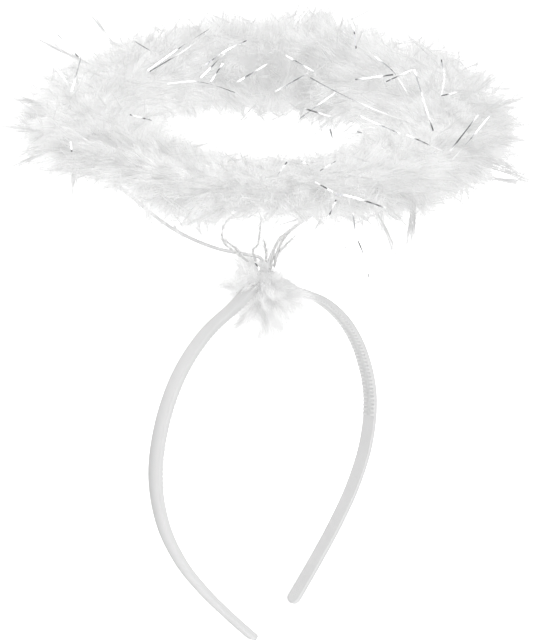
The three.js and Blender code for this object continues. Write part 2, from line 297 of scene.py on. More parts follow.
def makePlastic():
    # Polystyrene moulded in a satin tool: a soft broad gloss with a very fine grain. Its colour holds
    # painted shade: darker where the shade number is low, as in hollows, and darker towards its outline,
    # as white plastic looks in a white room.
    material, tree = newMaterial("moulded_polystyrene")
    place = addNode(tree, "TexCoord")
    grain = addNode(
        tree, "TexNoise", {"Vector": place.outputs["Object"], "Scale": 1000 / 0.4, "Detail": 2.0}
    )
    cloud = addNode(tree, "TexNoise", {"Vector": place.outputs["Object"], "Scale": 1000 / 9, "Detail": 3.0})
    rough = addNode(
        tree, "MapRange", {"Value": cloud.outputs["Fac"], "To Min": 0.3, "To Max": 0.42}
    )
    relief = addNode(tree, "Bump", {"Height": grain.outputs["Fac"], "Strength": 0.08, "Distance": 0.00005})
    shade = addNode(tree, "Attribute", attribute_name="shade")
    # painted shade: the colour is darker where the shade number is low
    tone = addNode(
        tree, "Mix", {"Factor": shade.outputs["Fac"], "A": linear("b0b0b0"), "B": linear("e6e6e6")},
        data_type="RGBA",
    )
    # painted shade: the colour turns darker towards the outline
    outlineShade = addNode(tree, "LayerWeight", {"Blend": 0.2})
    tone = addNode(
        tree, "Mix", {"Factor": outlineShade.outputs["Facing"], "A": tone.outputs["Result"], "B": linear("a0a0a0")},
        data_type="RGBA",
    )
    body = addNode(
        tree, "BsdfPrincipled",
        {
            "Base Color": tone.outputs["Result"], "Roughness": rough.outputs["Result"], "IOR": 1.55,
            "Normal": relief.outputs["Normal"],
        },
    )
    addNode(tree, "OutputMaterial", {"Surface": body.outputs[0]})
    return material


def makeCoatedWire():
    # Steel wire dipped in white vinyl: smooth, with slow ripples in the coat. Its colour is painted darker
    # towards its outline, a painted shade as on a round white thing in a white room.
    material, tree = newMaterial("vinyl_coated_steel_wire")
    place = addNode(tree, "TexCoord")
    ripple = addNode(
        tree, "TexNoise", {"Vector": place.outputs["Object"], "Scale": 1000 / 3, "Detail": 1.0}
    )
    relief = addNode(tree, "Bump", {"Height": ripple.outputs["Fac"], "Strength": 0.3, "Distance": 0.0001})
    # painted shade: the colour turns darker towards the outline
    outlineShade = addNode(tree, "LayerWeight", {"Blend": 0.5})
    tone = addNode(
        tree, "Mix", {"Factor": outlineShade.outputs["Facing"], "A": linear("f2f2f2"), "B": linear("8c8c8c")},
        data_type="RGBA",
    )
    body = addNode(
        tree, "BsdfPrincipled",
        {
            "Base Color": tone.outputs["Result"], "Roughness": 0.35, "IOR": 1.5,
            "Normal": relief.outputs["Normal"],
        },
    )
    addNode(tree, "OutputMaterial", {"Surface": body.outputs[0]})
    return material


def makeTinsel():
    # Slit polyester film with a silver coat. Where its twist turns it to a lamp it flashes white: a
    # painted highlight, white colour and a glow that the shade of each point gives, as so narrow a mirror
    # would catch a lamp from one side only. Elsewhere it is dark.
    material, tree = newMaterial("silver_slit_film")
    shade = addNode(tree, "Attribute", attribute_name="shade")
    place = addNode(tree, "TexCoord")
    crinkle = addNode(
        tree, "TexNoise", {"Vector": place.outputs["Object"], "Scale": 1000 / 1.5, "Detail": 2.0}
    )
    relief = addNode(tree, "Bump", {"Height": crinkle.outputs["Fac"], "Strength": 0.25, "Distance": 0.0001})
    # painted highlight: white colour and glow where the shade number is high
    tone = addNode(
        tree, "Mix", {"Factor": shade.outputs["Fac"], "A": linear("98999b"), "B": linear("ffffff")},
        data_type="RGBA",
    )
    paintedFlash = addNode(tree, "Math", {0: shade.outputs["Fac"], 1: 0.7}, operation="MULTIPLY")
    body = addNode(
        tree, "BsdfPrincipled",
        {
            "Base Color": tone.outputs["Result"], "Metallic": 1.0, "Roughness": 0.14,
            "Normal": relief.outputs["Normal"], "Emission Color": linear("ffffff"),
            "Emission Strength": paintedFlash.outputs[0],
        },
    )
    addNode(tree, "OutputMaterial", {"Surface": body.outputs[0]})
    return material


def makeQuill():
    # Feather shaft: horny keratin, pale and a little see-through. Its colour is painted darker towards its
    # outline, a painted shade for how it looks edge on.
    material, tree = newMaterial("feather_quill")
    place = addNode(tree, "TexCoord")
    cloud = addNode(tree, "TexNoise", {"Vector": place.outputs["Object"], "Scale": 1000 / 4, "Detail": 2.0})
    tone = addNode(
        tree, "Mix", {"Factor": cloud.outputs["Fac"], "A": linear("dcdcda"), "B": linear("f6f6f6")},
        data_type="RGBA",
    )
    # painted shade: the colour turns darker towards the outline
    outlineShade = addNode(tree, "LayerWeight", {"Blend": 0.4})
    tone = addNode(
        tree, "Mix", {"Factor": outlineShade.outputs["Facing"], "A": tone.outputs["Result"], "B": linear("b8b8b8")},
        data_type="RGBA",
    )
    body = addNode(
        tree, "BsdfPrincipled", {"Base Color": tone.outputs["Result"], "Roughness": 0.45, "IOR": 1.54}
    )
    addNode(tree, "OutputMaterial", {"Surface": body.outputs[0]})
    return material


down = makeDown("bleached_marabou_down", "cecece", "f5f5f5", 0.17)
tuftDown = makeDown("short_marabou_down", "e0e0e0", "f6f6f6", 0.268)
plastic = makePlastic()
coatedWire = makeCoatedWire()
tinselFilm = makeTinsel()
quill = makeQuill()
print("materials made")


# Headband

band = dict(
    span=120,
    width=5.6,
    thickness=2,
    rightReach=127.8,
    leftReach=134,
    tipTwist=1.5,
    edgeRound=0.7,
    toothPitch=1.7,
    toothHeight=0.7,
    toothWidth=2.2,
    toothedReach=96,
    step=0.2833,  # between sections, where there are teeth or grip pattern
    plainStep=0.9,
    markDrops=(89, 118),  # how far below the crown the ejector marks lie
    markRadius=2.1,
    markDepth=0.14,
    knurlFrom=99,  # distance down an arm where the fine grip pattern starts
    knurlPitch=1.15,
    knurlDepth=0.07,
    knurlEase=7,  # over which the pattern rises to its full depth
    tipSections=14,
)
armPlaces = [
    # across, drop: shares of half the span and of the arm's reach
    (0.27, 0.055), (0.542, 0.112), (0.769, 0.199), (0.926, 0.315), (1, 0.448),
    (0.957, 0.583), (0.823, 0.704), (0.634, 0.81), (0.422, 0.907), (0.204, 1),
]


def armPoints(side, reach):
    across, drop = np.array(armPlaces).T
    back = side * band["tipTwist"] * drop**2
    return np.stack([side * across * band["span"] / 2, back, -drop * reach], axis=1)


def bandCurve():
    left = armPoints(-1, band["leftReach"])[::-1]
    right = armPoints(1, band["rightReach"])
    return curveThrough(np.concatenate([left, [[0, 0, 0]], right]), 60)


def bandProfile():
    # u across the strip, v out from the head, and how much of a tooth each point carries
    half, outer, r = band["width"] / 2, band["thickness"] / 2, band["edgeRound"]
    corner = np.linspace(0, math.pi / 2, 5)
    inner = 0.25
    u = [half, *(half - r + r * np.cos(corner))]
    v = [0, *(outer - r + r * np.sin(corner))]
    flat = np.linspace(half - r, -half + r, 5)[1:-1]
    u += [*flat]
    v += [*(np.full(len(flat), outer))]
    u += [*(-half + r - r * np.sin(corner)), -half]
    v += [*(outer - r + r * np.cos(corner)), 0]
    under = np.linspace(0, math.pi / 2, 4)
    u += [*(-half + inner - inner * np.cos(under))]
    v += [*(-outer + inner - inner * np.sin(under))]
    across = np.linspace(-half + inner, half - inner, 21)[1:-1]
    u += [*across]
    v += [*np.full(len(across), -outer)]
    u += [*(half - inner + inner * np.sin(under))]
    v += [*(-outer + inner - inner * np.cos(under))]
    u, v = np.array(u), np.array(v)
    place = np.clip((half - np.abs(u)) / band["toothWidth"], 0, 1)
    hump = np.sin(math.pi * np.clip(place * 0.86 + 0.14, 0, 1)) ** 0.6
    tooth = np.where(v < -outer + inner + 1e-6, hump, 0)
    tooth[place >= 1] = 0
    return u, v, tooth


def makeBand():
    # The strip's profile carried along its curve. Inside, each edge has a row of rounded teeth: a
    # raised cosine along the strip times a round hump across it. Further down are the ejector marks
    # and a fine diagonal grip pattern. The shade number paints shade: the inner face is darker save on
    # the crests of the teeth, and the rest darker towards the back edge low on the arms, where less light
    # comes.
    curve = bandCurve()
    length = curveLength(curve)
    run = np.concatenate([[0], np.cumsum(np.linalg.norm(np.diff(curve, axis=0), axis=1))])
    onTop = curve[:, 2] > -15
    crown = np.interp(0, curve[onTop, 0], run[onTop])
    tip = band["width"] / 2
    rounding = tip * (1 - np.cos(np.linspace(0, math.pi / 2, band["tipSections"])))
    fine = np.arange(tip, length - tip, band["step"])
    drop = -alongCurve(curve, fine)[0][:, 2]
    smooth = drop < band["knurlFrom"] - band["knurlEase"]
    smooth = smooth & (np.abs(fine - crown) > band["toothedReach"] + 1)
    marked = np.abs(drop - band["markDrops"][0]) < band["markRadius"] + 1
    sparse = np.arange(len(fine)) % round(band["plainStep"] / band["step"]) == 0
    s = np.concatenate([rounding[:-1], fine[~smooth | marked | sparse], length - rounding[::-1]])
    centre, forward = alongCurve(curve, s)
    wide = unit(np.array([0, 1, 0]) - forward * forward[:, 1:2])
    out = np.cross(forward, wide)
    u, v, tooth = bandProfile()
    fromTip = np.minimum(s, length - s)
    narrow = np.sqrt(1 - np.clip(1 - fromTip / tip, 0, 1) ** 2)
    thin = np.sqrt(1 - np.clip(1 - fromTip / (tip * 0.35), 0, 1) ** 2)
    teeth = round(2 * band["toothedReach"] / band["toothPitch"])
    toothRun = teeth * band["toothPitch"] / 2
    wave = 0.5 - 0.5 * np.cos(2 * math.pi * (s - crown + toothRun) / band["toothPitch"])
    pulse = np.where(np.abs(s - crown) < toothRun, wave**0.8, 0) * band["toothHeight"]
    depth = pulse[:, None] * tooth[None, :]
    inside = (v < -band["thickness"] / 2 + 0.01)[None, :]
    down = -centre[:, 2:3]
    for side in (-1, 1):
        arm = side * (s - crown) > 0
        order = np.argsort(down[arm, 0])
        for drop in band["markDrops"]:
            markPlace = np.interp(drop, down[arm, 0][order], s[arm][order])
            away = np.hypot(s[:, None] - markPlace, u[None, :])
            recess = np.clip((band["markRadius"] - away) / 0.5 + 0.5, 0, 1)
            depth = depth - inside * recess * band["markDepth"]
    along = np.abs(s - crown)[:, None]
    plain = (along > toothRun + 1) * inside
    ease = band["knurlEase"]
    fade = np.clip((along - toothRun - band["knurlPitch"]) / (ease - 1), 0, 1)
    fade = fade * np.clip((down - band["knurlFrom"] + ease) / (ease + 1), 0, 1)
    slant = (s[:, None] + u[None, :]) / band["knurlPitch"]
    cross = (s[:, None] - u[None, :]) / band["knurlPitch"]
    knurl = np.maximum(np.cos(2 * math.pi * slant), np.cos(2 * math.pi * cross))
    depth = depth + plain * fade * band["knurlDepth"] * knurl
    points = (
        centre[:, None]
        + wide[:, None] * (u[None, :] * narrow[:, None])[..., None]
        + out[:, None] * (v[None, :] * thin[:, None] - depth * narrow[:, None])[..., None]
    )
    faces = gridFaces(len(s), len(u))
    # painted shade: inner face darker except on the tooth crests, the rest darker towards the back edge low
    # down
    crest = pulse[:, None] / band["toothHeight"] * tooth[None, :]
    toBack = np.clip(u / tip * 0.5 + 0.5, 0, 1) ** 1.5
    lowDown = np.clip((down - 12) / 45, 0, 1)
    shade = np.where(inside, 0.62 + 0.38 * crest, 1 - 0.95 * toBack * lowDown)
    makePiece("headband_moulding", points, faces, plastic, ["headband"], shade)


makeBand()
print("band made")


# Halo wire

wire = dict(diameter=1.2, ringRadius=62.5, legSpacing=2, sides=10, ringSteps=240, windTurns=4)
ring = dict(height=57.5, aside=3.5, forward=1, tipForward=10, tipLeft=7.3)
legs = [
    # side of the crown, angle at which the leg meets the ring, then places as shares of that meeting
    # point
    (-1, 160, [
        (0.034, 0, 0.134), (0.134, 0.124, 0.175), (0.317, 0.373, 0.236),
        (0.601, 0.622, 0.393), (0.862, 0.866, 0.626), (1.05, 0.985, 0.832),
    ]),
    (1, -20, [
        (0.04, 0.03, 0.115), (0.11, 0.05, 0.205), (0.24, 0.13, 0.28), (0.4, 0.3, 0.365),
        (0.58, 0.53, 0.46), (0.78, 0.81, 0.6), (0.94, 0.95, 0.79),
    ]),
]
ringTurn = np.array(
    Matrix.Rotation(-math.radians(ring["tipLeft"]), 3, "Y")
    @ Matrix.Rotation(math.radians(ring["tipForward"]), 3, "X")
)
ringCentre = np.array([ring["aside"], -ring["forward"], ring["height"]])


def onRing(points):
    # from the ring's own plane to where it is worn
    return points @ ringTurn.T + ringCentre


def legPath(side, degrees, places):
    angle = math.radians(degrees)
    foot = onRing(wire["ringRadius"] * np.array([math.cos(angle), math.sin(angle), 0]))
    lift = band["thickness"] / 2 + 0.3 + wire["diameter"] / 2
    start = np.array([side * wire["legSpacing"] / 2, 0, lift])
    return curveThrough(np.concatenate([[start], np.array(places) * foot, [foot]]), 12)


def windingPath():
    # the wire's ends wound round the crown: a rounded square spiral
    turn = np.linspace(0, 2 * math.pi * wire["windTurns"], 40 * wire["windTurns"])
    power = 0.45
    reachY = band["width"] / 2 + 0.3 + wire["diameter"] / 2
    reachZ = (band["thickness"] + band["toothHeight"]) / 2 + 0.3 + wire["diameter"] / 2
    y = np.sign(np.cos(turn)) * np.abs(np.cos(turn)) ** power * reachY
    z = np.sign(np.sin(turn)) * np.abs(np.sin(turn)) ** power * reachZ - band["toothHeight"] / 2
    x = (turn / turn[-1] - 0.5) * (wire["windTurns"] - 1) * wire["diameter"] * 1.02
    return np.stack([x, y, z], axis=1)


def makeWire():
    radius = wire["diameter"] / 2
    angle = np.linspace(0, 2 * math.pi, wire["ringSteps"], endpoint=False)[:, None]
    turn = np.linspace(0, 2 * math.pi, wire["sides"], endpoint=False)[None, :]
    reach = wire["ringRadius"] + radius * np.sin(turn)
    hoop = np.stack(
        [np.cos(angle) * reach, np.sin(angle) * reach, radius * np.cos(turn) + 0 * angle], axis=-1
    )
    parts = [(onRing(hoop.reshape(-1, 3)), gridFaces(wire["ringSteps"], wire["sides"], closedRows=True))]
    for side, degrees, places in legs:
        skin = tube(legPath(side, degrees, places), radius, wire["sides"], np.array([0.0, 1, 0]))
        parts.append((skin.reshape(-1, 3), gridFaces(*skin.shape[:2])))
    skin = tube(windingPath(), radius, wire["sides"], np.array([1.0, 0, 0]))
    parts.append((skin.reshape(-1, 3), gridFaces(*skin.shape[:2])))
    points, faces = joined(parts)
    makePiece("halo_wire_coated", points, faces, coatedWire, ["halo_wire"])


makeWire()
print("wire made")


# Marabou on the halo

fluff = dict(
    inner=25,  # mm from the wire to the skin of the down, towards the hole
    outer=21,
    rise=11.5,
    seed=11,
    locks=1560,
    barbs=73,  # in each lock
    stations=4,
    barbWidth=0.205,
    coreShare=0.7,  # of the way to the skin that the thick of the down fills
    clumpAngle=15,  # degrees from the back to the middle of each clump that the halo lies on
    clumpTurn=123,  # degrees round the section
    clumpStandOut=5,
)
fluffPlaces = [
    # turn in degrees from the right to the back, then shares of the sizes: inner, outer, rise, drop
    (0, 1.25, 1, 1.25, 1.3), (15, 1.25, 1, 1.7, 1.7), (25, 1.15, 1, 1.9, 1.6),
    (35, 1.1, 1, 1.75, 1.6), (45, 1.05, 1, 1.5, 1.55), (60, 1, 1, 1.6, 1.4),
    (68, 1, 1, 1.25, 1.3), (80, 1, 1.1, 1.45, 1.2), (93, 0.95, 1.05, 0.95, 1.1),
    (107, 0.9, 1.15, 0.85, 1.1), (122, 0.85, 1.15, 0.8, 1.1), (140, 0.85, 1.25, 0.8, 1.1),
    (155, 0.85, 1.35, 0.8, 1), (170, 0.8, 0.95, 0.7, 0.75), (182, 0.75, 0.95, 0.6, 0.8),
    (197, 0.7, 1.15, 0.4, 1.75), (210, 0.7, 0.95, 0.35, 0.9), (225, 0.7, 0.9, 0.35, 1.05),
    (240, 0.75, 1, 0.4, 1.15), (260, 0.85, 1.15, 0.5, 1.4), (275, 0.9, 1.1, 0.55, 1.1),
    (290, 1.1, 1.2, 0.7, 1.2), (310, 1.2, 1.2, 1.1, 1.1), (328, 1.2, 1.2, 1.5, 1.1),
    (343, 1.2, 1.05, 1.75, 1.2), (352, 1.2, 1, 1.35, 1.2),
]


def fluffSizes(angle):
    # the four half sizes at each angle, eased from row to row
    rows = np.array(fluffPlaces, float)
    rows = np.concatenate([rows, rows[:1] + [360, 0, 0, 0, 0]])
    turn = np.degrees(angle) % 360
    index = np.clip(np.searchsorted(rows[:, 0], turn, side="right") - 1, 0, len(rows) - 2)
    share = (turn - rows[index, 0]) / (rows[index + 1, 0] - rows[index, 0])
    share = share * share * (3 - 2 * share)
    sizes = rows[index, 1:] * (1 - share[..., None]) + rows[index + 1, 1:] * share[..., None]
    return sizes * [fluff["inner"], fluff["outer"], fluff["rise"], fluff["rise"]]


def fluffPoint(angle, turn, scale):
    # on the ring's plane: angle goes round the ring, turn round its section from the top outwards
    sizes = fluffSizes(angle)
    out, up = np.sin(turn), np.cos(turn)
    reach = np.where(out > 0, sizes[..., 1], sizes[..., 0])
    lift = np.where(up > 0, sizes[..., 2], sizes[..., 3])
    fromBack = np.abs((angle - math.pi / 2 + math.pi) % (2 * math.pi) - math.pi)
    clump = math.radians(fluff["clumpAngle"])
    along = np.clip(np.abs(fromBack - clump) / clump, 0, 1)
    facing = np.maximum(np.cos(turn - math.radians(fluff["clumpTurn"])), 0)
    swell = fluff["clumpStandOut"] * np.cos(along * math.pi / 2) ** 2 * facing**2
    radius = wire["ringRadius"] + scale * (reach + swell) * out
    return np.stack([np.cos(angle) * radius, np.sin(angle) * radius, scale * (lift + swell) * up], axis=-1)


def spreadPlaces(count, offset):
    # even places over the skin: angles by one irrational step, turns by another, more where the skin
    # is wider
    index = np.arange(count) + offset
    angleStep, turnStep = 0.7548776662, 0.5698402910
    angle = 2 * math.pi * ((index * angleStep) % 1)
    fine = np.linspace(0, 2 * math.pi, 181)
    middle = fluffPoint(np.zeros_like(fine) + 0.6, fine, 1.0)
    radius = np.linalg.norm(middle[:, :2], axis=1)
    steps = np.linalg.norm(np.diff(middle, axis=0), axis=1) * (radius[1:] + radius[:-1])
    share = np.concatenate([[0], np.cumsum(steps)]) / steps.sum()
    turn = np.interp((index * turnStep) % 1, share, fine)
    return angle, turn


def growBarbs(rng, root, tip, bend, count, spread, lively, close=0.0):
    # Each lock is a bent shaft from root to tip. Its barbs leave the shaft at a random place, swing
    # out to one side, and curve back along it, as on a small plume. With close they draw together
    # again at the tip.
    locks = len(root)
    shaft = (tip - root)[:, None, None]
    length = np.linalg.norm(tip - root, axis=1)[:, None, None, None]
    t = np.linspace(0, 1, fluff["stations"])[None, None, :, None]
    leave = rng.uniform(0, 0.5, (locks, count, 1, 1))
    reach = rng.uniform(0.72, 1.12, (locks, count, 1, 1))
    along = leave + (reach - leave) * t
    side = rng.normal(size=(locks, count, 1, 3))
    ahead = unit(shaft)
    side = unit(side - ahead * (side * ahead).sum(-1, keepdims=True))
    swing = rng.uniform(0.15, 1, (locks, count, 1, 1)) ** 0.7 * spread[:, None, None, None]
    open = np.sin(np.minimum(t * 1.9, math.pi / 2 + 0.35)) * (1 - 0.4 * leave)
    wander = rng.normal(size=(locks, count, 1, 3)) * lively
    path = (
        root[:, None, None]
        + shaft * along
        + bend[:, None, None] * length * along**2
        + side * swing * (0.25 + open) * (1 - close * t**2)
        + wander * length * t**2
    )
    return path.reshape(locks * count, fluff["stations"], 3)


def barbMesh(rng, paths, width):
    count, stations = paths.shape[:2]
    t = np.linspace(0, 1, stations)[None, :]
    widths = width * rng.uniform(0.7, 1.3, (count, 1)) * (1 - 0.8 * t**1.5)
    points, faces = ribbons(paths, widths, rng.normal(size=(count, 1, 3)))
    return points, faces


def haloLocks(rng):
    angle, turn = spreadPlaces(fluff["locks"], 5)
    root = fluffPoint(angle, turn, 0.5)
    sweep = np.sin(angle * 3 + 1.1) * 0.6 + rng.normal(size=len(angle)) * 0.5
    longer = 1.0 + 0.16 * rng.uniform(-1, 1, len(angle))
    tip = fluffPoint(angle + sweep * 0.12, turn + rng.normal(size=len(angle)) * 0.12, longer)
    return angle, turn, root, tip


def makeHaloDown():
    rng = np.random.default_rng(fluff["seed"])
    angle, turn, root, tip = haloLocks(rng)
    along = np.stack([-np.sin(angle), np.cos(angle), 0 * angle], axis=1)
    bend = along * rng.normal(size=(len(angle), 1)) * 0.16 + rng.normal(size=(len(angle), 3)) * 0.08
    spread = rng.uniform(2.2, 4.6, len(angle))
    tone = rng.uniform(0.68, 1.0, len(angle))
    paths = growBarbs(rng, root, tip, bend, fluff["barbs"], spread, 0.06)
    quarter = (np.degrees(angle) // 90).astype(int) % 4
    owner = np.repeat(quarter, fluff["barbs"])
    shadeOf = np.repeat(tone, fluff["barbs"])
    for k in range(4):
        chosen = owner == k
        points, faces = barbMesh(rng, onRing(paths[chosen]), fluff["barbWidth"])
        shade = np.broadcast_to(shadeOf[chosen][:, None, None], points.shape[:3])
        makePiece(f"marabou_barbs_{k + 1}", points, faces, down, ["marabou_halo"], shade)


def makeHaloCore():
    # the thick of the down round the wire: the same skin drawn in, with a slow lumpy swell
    rows, columns = 260, 44
    angle = np.linspace(0, 2 * math.pi, rows, endpoint=False)[:, None] + np.zeros((1, columns))
    turn = np.linspace(0, 2 * math.pi, columns, endpoint=False)[None, :] + np.zeros((rows, 1))
    swell = 0.05 * np.sin(9 * angle + 3 * turn) + 0.04 * np.sin(23 * angle - 5 * turn + 1)
    points = fluffPoint(angle, turn, fluff["coreShare"] * (1 + swell))
    shade = np.full((rows, columns), 0.85)
    faces = gridFaces(rows, columns, closedRows=True)
    makePiece("marabou_core", onRing(points), faces, down, ["marabou_halo"], shade)


wisps = dict(
    count=1500,
    seed=12,
    barbs=6,  # in each wisp
    spread=1.0,
    width=0.26,
    standOut=(1.5, 9),  # mm beyond the skin, from the shortest to the longest
    shade=0.5,
)


def makeHaloWisps():
    # small pointed wisps that stand out of the skin, of a few barbs each
    rng = np.random.default_rng(wisps["seed"])
    angle, turn = spreadPlaces(wisps["count"], 301)
    count = len(angle)
    root = fluffPoint(angle, turn, 0.8)
    far = fluffPoint(angle + rng.normal(size=count) * 0.1, turn + rng.normal(size=count) * 0.25, 1.05)
    tip = far + unit(far - root) * rng.uniform(*wisps["standOut"], (count, 1))
    bend = rng.normal(size=(count, 3)) * 0.16
    spread = np.full(count, wisps["spread"])
    paths = growBarbs(rng, root, tip, bend, wisps["barbs"], spread, 0.04, close=0.85)
    points, faces = barbMesh(rng, onRing(paths), wisps["width"])
    shade = np.full(points.shape[:3], wisps["shade"])
    makePiece("marabou_wisps", points, faces, down, ["marabou_halo"], shade)


makeHaloCore()
makeHaloDown()
makeHaloWisps()
print("halo down grown")


# Marabou tuft on the crown

tuft = dict(aside=-1.6, down=-4, thick=9.5, seed=23, locks=230, barbs=64, width=0.26, coreShare=0.6)
tuftOutline = [
    # direction in the photograph, in degrees from its right, and how far the down reaches that way in mm
    (0, 16), (25, 11), (60, 9), (90, 14), (115, 17), (150, 19), (180, 17), (210, 14), (240, 17),
    (270, 20), (295, 27), (310, 18), (330, 24), (345, 20), (360, 16),
]


def tuftReach(direction):
    # an egg seen from the camera: the outline above sideways, and the named thickness along the line
    # of sight
    right, up, forward = photoAxes()
    x, y, z = direction @ right, direction @ up, direction @ forward
    degrees, reach = np.array(tuftOutline, float).T
    flat = np.interp(np.degrees(np.arctan2(y, x)) % 360, degrees, reach)
    return 1 / np.sqrt((x**2 + y**2) / flat**2 + z**2 / tuft["thick"] ** 2)


def evenDirections(count):
    # even directions all round, from the top down, each a golden angle past the one before
    index = np.arange(count) + 0.5
    up = 1 - 2 * index / count
    turn = index * math.pi * (3 - math.sqrt(5))
    flat = np.sqrt(1 - up**2)
    return np.stack([np.cos(turn) * flat, np.sin(turn) * flat, up], axis=1)


def makeTuftCore():
    # the thick of the tuft: its own reach drawn in, with a lumpy swell
    rows, columns = 40, 48
    fromTop = np.linspace(0, math.pi, rows)[:, None] + np.zeros((1, columns))
    turn = np.linspace(0, 2 * math.pi, columns, endpoint=False)[None, :] + np.zeros((rows, 1))
    direction = np.stack(
        [np.cos(turn) * np.sin(fromTop), np.sin(turn) * np.sin(fromTop), np.cos(fromTop)], axis=-1
    ).reshape(-1, 3)
    lumps = tuft["coreShare"] * (1 + 0.07 * np.sin(7 * turn + 5 * fromTop) * np.sin(9 * fromTop)).ravel()
    centre = np.array([tuft["aside"], 0, tuft["down"]])
    points = centre + direction * (tuftReach(direction) * lumps)[:, None]
    faces = gridFaces(rows, columns)[:, ::-1]
    shade = np.full(len(points), 0.7)
    makePiece("marabou_tuft_core", points, faces, tuftDown, ["marabou_tuft"], shade)


def makeTuft():
    rng = np.random.default_rng(tuft["seed"])
    count = tuft["locks"]
    direction = evenDirections(count)
    centre = np.array([tuft["aside"], 0, tuft["down"]])
    reach = tuftReach(direction) * rng.uniform(0.72, 1.06, count)
    root = centre + direction * reach[:, None] * 0.3 + rng.normal(size=direction.shape) * 1.2
    tip = centre + unit(direction + rng.normal(size=direction.shape) * 0.28) * reach[:, None]
    bend = np.array([0, 0, -0.1]) + rng.normal(size=(count, 3)) * 0.1
    paths = growBarbs(rng, root, tip, bend, tuft["barbs"], rng.uniform(1.2, 2.4, count), 0.07, close=0.4)
    points, faces = barbMesh(rng, paths, tuft["width"])
    tone = np.repeat(rng.uniform(0.25, 1, count), tuft["barbs"])
    shade = np.broadcast_to(tone[:, None, None], points.shape[:3])
    makePiece("marabou_tuft_barbs", points, faces, tuftDown, ["marabou_tuft"], shade)


makeTuftCore()
makeTuft()
print("tuft grown")


# Strands placed by the photograph


def skinDepths(places):
    # depth at which a line of sight first meets the down, or passes nearest to it where it misses
    rows, columns = 720, 96
    angle = np.linspace(0, 2 * math.pi, rows, endpoint=False)[:, None] + np.zeros((1, columns))
    turn = np.linspace(0, 2 * math.pi, columns, endpoint=False)[None, :] + np.zeros((rows, 1))
    halo = inPhoto(onRing(fluffPoint(angle, turn, 1.0).reshape(-1, 3)))
    direction = evenDirections(4000)
    centre = np.array([tuft["aside"], 0, tuft["down"]])
    ball = inPhoto(centre + direction * tuftReach(direction)[:, None])
    seen = np.concatenate([halo, ball])
    depths = []
    for x, y in places:
        away = np.hypot(seen[:, 0] - x, seen[:, 1] - y)
        near = away < max(5, away.min() + 2)
        depths.append(seen[near, 2].min())
    return np.array(depths)


def strandPaths(strands, lift, stations):
    # each strand's photograph points set a little in front of the down, and joined by a smooth curve
    paths = []
    for strand in strands:
        places = np.array(strand, float)
        if len(places) == 2:
            places = np.array([places[0], places.mean(axis=0), places[1]])
        depths = skinDepths(places)
        depths = np.convolve(np.pad(depths, 1, mode="edge"), [0.25, 0.5, 0.25], mode="valid") - lift
        line = np.array([fromPhoto(x, y, depth) for (x, y), depth in zip(places, depths)])
        curve = curveThrough(line, 12)
        run = np.linspace(0, curveLength(curve), stations)
        paths.append(alongCurve(curve, run)[0])
    return np.array(paths)


tinsel = dict(
    width=0.5,
    lift=6.5,  # mm in front of the skin
    stations=26,
    seed=31,
    extra=34,  # strands on the far side, which the photograph doesn't show
    extraHalf=(6, 13),
    extraLift=0.8,
    extraBow=(0.5, 2.5),
)
tinselStrands = [
    # across the halo's back and left
    ((112, 23), (134, 41), (155, 54)),
    ((148, 71), (182, 47), (209, 30)),
    ((150, 72), (186, 50), (211, 31)),
    ((206, 65), (228, 50), (247, 41)),
    ((201, 78), (225, 54)),
    ((211, 82), (223, 64)),
    ((168, 84), (196, 82), (218, 87), (235, 93)),
    ((238, 82), (268, 64)),
    ((83, 53), (72, 92)),
    ((51, 62), (71, 87)),
    ((56, 33), (79, 58)),
    ((130, 115), (153, 121)),
    ((71, 142), (72, 152)),
    ((275, 92), (314, 70)),
    ((286, 56), (314, 72)),
    ((298, 120), (335, 93)),
    ((305, 109), (331, 117)),
    # across the right
    ((339, 7), (352, 25), (356, 49)),
    ((375, 57), (393, 72), (407, 93)),
    ((310, 78), (336, 92), (380, 112), (421, 126)),
    ((355, 80), (393, 75)),
    ((386, 82), (412, 70)),
    ((414, 70), (421, 93), (433, 131)),
    ((441, 60), (444, 78), (441, 96)),
    ((441, 96), (464, 91)),
    ((348, 121), (373, 128)),
    ((357, 132), (376, 135)),
    ((359, 116), (400, 134)),
    ((407, 135), (442, 151)),
    ((478, 115), (450, 151)),
    ((490, 115), (473, 136), (452, 160)),
    # across the front
    ((287, 162), (277, 176)),
    ((301, 161), (308, 165)),
    ((320, 171), (336, 161)),
    ((315, 182), (333, 192)),
    ((336, 194), (352, 197), (386, 208)),
    ((336, 200), (328, 218)),
    # hanging
    ((353, 213), (354, 234), (340, 255)),
    ((356, 236), (364, 256), (369, 278)),
    ((296, 230), (306, 244), (310, 260)),
    # over the tuft
    ((255, 263), (259, 269), (257, 275)),
]


